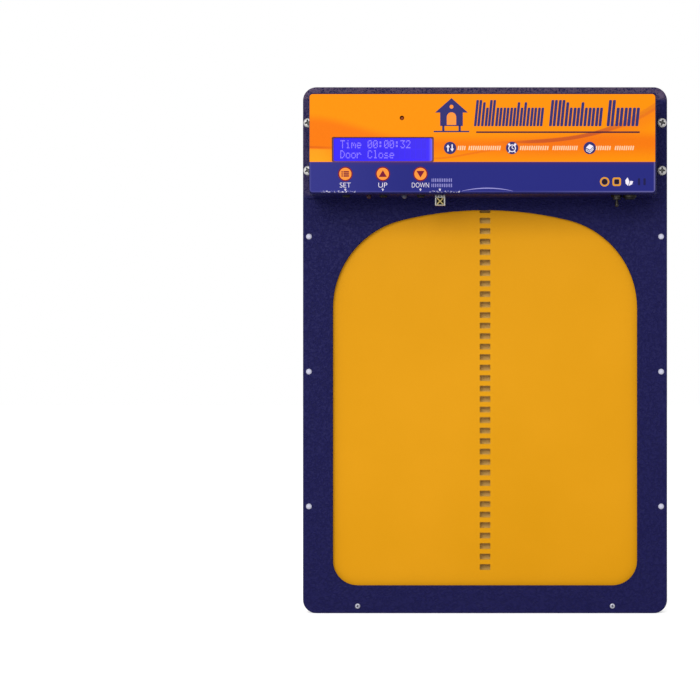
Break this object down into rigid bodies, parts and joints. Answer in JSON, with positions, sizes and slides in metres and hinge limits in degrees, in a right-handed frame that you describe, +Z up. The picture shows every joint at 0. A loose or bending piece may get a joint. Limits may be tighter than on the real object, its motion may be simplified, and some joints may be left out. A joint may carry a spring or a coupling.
{
  "type": "automatic coop door",
  "caption": "Wall-mounted automatic hen house door: arched frame, sliding panel driven by a sprocket in its row of slots, and a control box above.",
  "frame": {"origin": "centre of the four wall-fixing holes, on the back face", "axes": "+Z up, +X to the right seen from the front, +Y into the wall; the front faces -Y"},
  "size_m": [0.244, 0.0499, 0.3524],
  "materials": {
    "navy_coat": "textured navy powder coat",
    "door_coat": "satin yellow-orange powder coat",
    "guide_plastic": "black low-friction plastic",
    "rivet_alu": "plain aluminium",
    "screw_steel": "bright zinc plate",
    "label_film": "printed orange and violet film",
    "display_frame": "black pressed frame",
    "display_glass": "blue backlit display",
    "circuit_board": "green solder mask",
    "black_plastic": "moulded black",
    "red_lens": "red lamp",
    "clear_lens": "clear lamp",
    "tin_plate": "tin plate",
    "dark_lens": "infrared dark",
    "nickel": "nickel plate",
    "steel": "plain steel",
    "brass": "turned brass",
    "button_plastic": "black cap",
    "cell_wrap": "wrapped battery",
    "can_blue": "capacitor can",
    "wire_cover": "wire insulation"
  },
  "bodies": {
    "frame": {"face_plate": "navy_coat", "rear_frame": "navy_coat", "box_cover": "navy_coat", "left_guide_bar": "guide_plastic", "right_guide_bar": "guide_plastic", "bottom_bar": "guide_plastic", "frame_rivets": "rivet_alu", "bottom_screws": "screw_steel", "cover_screws": "screw_steel", "label_panel": "label_film", "gearbox": "steel", "motor": "steel", "motor_bracket": "steel", "motor_screws": "screw_steel", "bearing_bracket": "steel", "bearing_bush": "brass", "bracket_screws": "screw_steel", "lcd_bezel": "display_frame", "lcd_glass": "display_glass", "display_board": "circuit_board", "display_standoffs": "black_plastic", "light_sensor": "clear_lens", "button_board": "circuit_board", "push_switches": "black_plastic", "status_led": "red_lens", "motor_led": "clear_lens", "ir_shield": "tin_plate", "ir_lens": "dark_lens", "ir_leads": "tin_plate", "toggle_body": "black_plastic", "toggle_bushing": "nickel", "toggle_nut": "nickel", "dc_socket": "black_plastic", "dc_socket_nut": "nickel", "dc_centre_pin": "nickel", "main_board": "circuit_board", "board_standoffs": "brass", "board_screws": "screw_steel", "microcontroller": "black_plastic", "motor_driver": "black_plastic", "capacitors": "can_blue", "clock_cell": "nickel", "board_sockets": "black_plastic", "battery_holder": "black_plastic", "battery_cells": "cell_wrap", "battery_contacts": "nickel", "motor_wires": "wire_cover", "battery_wires": "wire_cover", "socket_wires": "wire_cover", "display_ribbon": "wire_cover"},
    "door": {"door_panel": "door_coat", "door_channel": "door_coat"},
    "drive": {"drive_sprocket": "guide_plastic", "output_shaft": "steel", "grub_screw": "steel"},
    "set_cap": {"set_button": "button_plastic"},
    "up_cap": {"up_button": "button_plastic"},
    "down_cap": {"down_button": "button_plastic"},
    "lever": {"toggle_lever": "nickel"}
  },
  "joints": [
    {"name": "door_slide", "type": "slide", "parent": "frame", "child": "door", "axis": [0, 0, 1], "range_m": [0, 0.252]},
    {"name": "sprocket_spin", "type": "hinge", "parent": "frame", "child": "drive", "pos_m": [0, -0.0272, 0.13645], "axis": [1, 0, 0], "range_deg": [-5, 815]},
    {"name": "set_press", "type": "slide", "parent": "frame", "child": "set_cap", "axis": [0, 0, 1], "range_m": [0, 0.0008], "stiffness_N_per_m": 600, "springref_m": -0.001},
    {"name": "up_press", "type": "slide", "parent": "frame", "child": "up_cap", "axis": [0, 0, 1], "range_m": [0, 0.0008], "stiffness_N_per_m": 600, "springref_m": -0.001},
    {"name": "down_press", "type": "slide", "parent": "frame", "child": "down_cap", "axis": [0, 0, 1], "range_m": [0, 0.0008], "stiffness_N_per_m": 600, "springref_m": -0.001},
    {"name": "power_switch", "type": "hinge", "parent": "frame", "child": "lever", "pos_m": [0.0866, -0.04, 0.10425], "axis": [1, 0, 0], "range_deg": [0, 22]}
  ],
  "couplings": [
    {"joint": "sprocket_spin", "follows": "door_slide", "rad_per_m": 55.702}
  ]
}
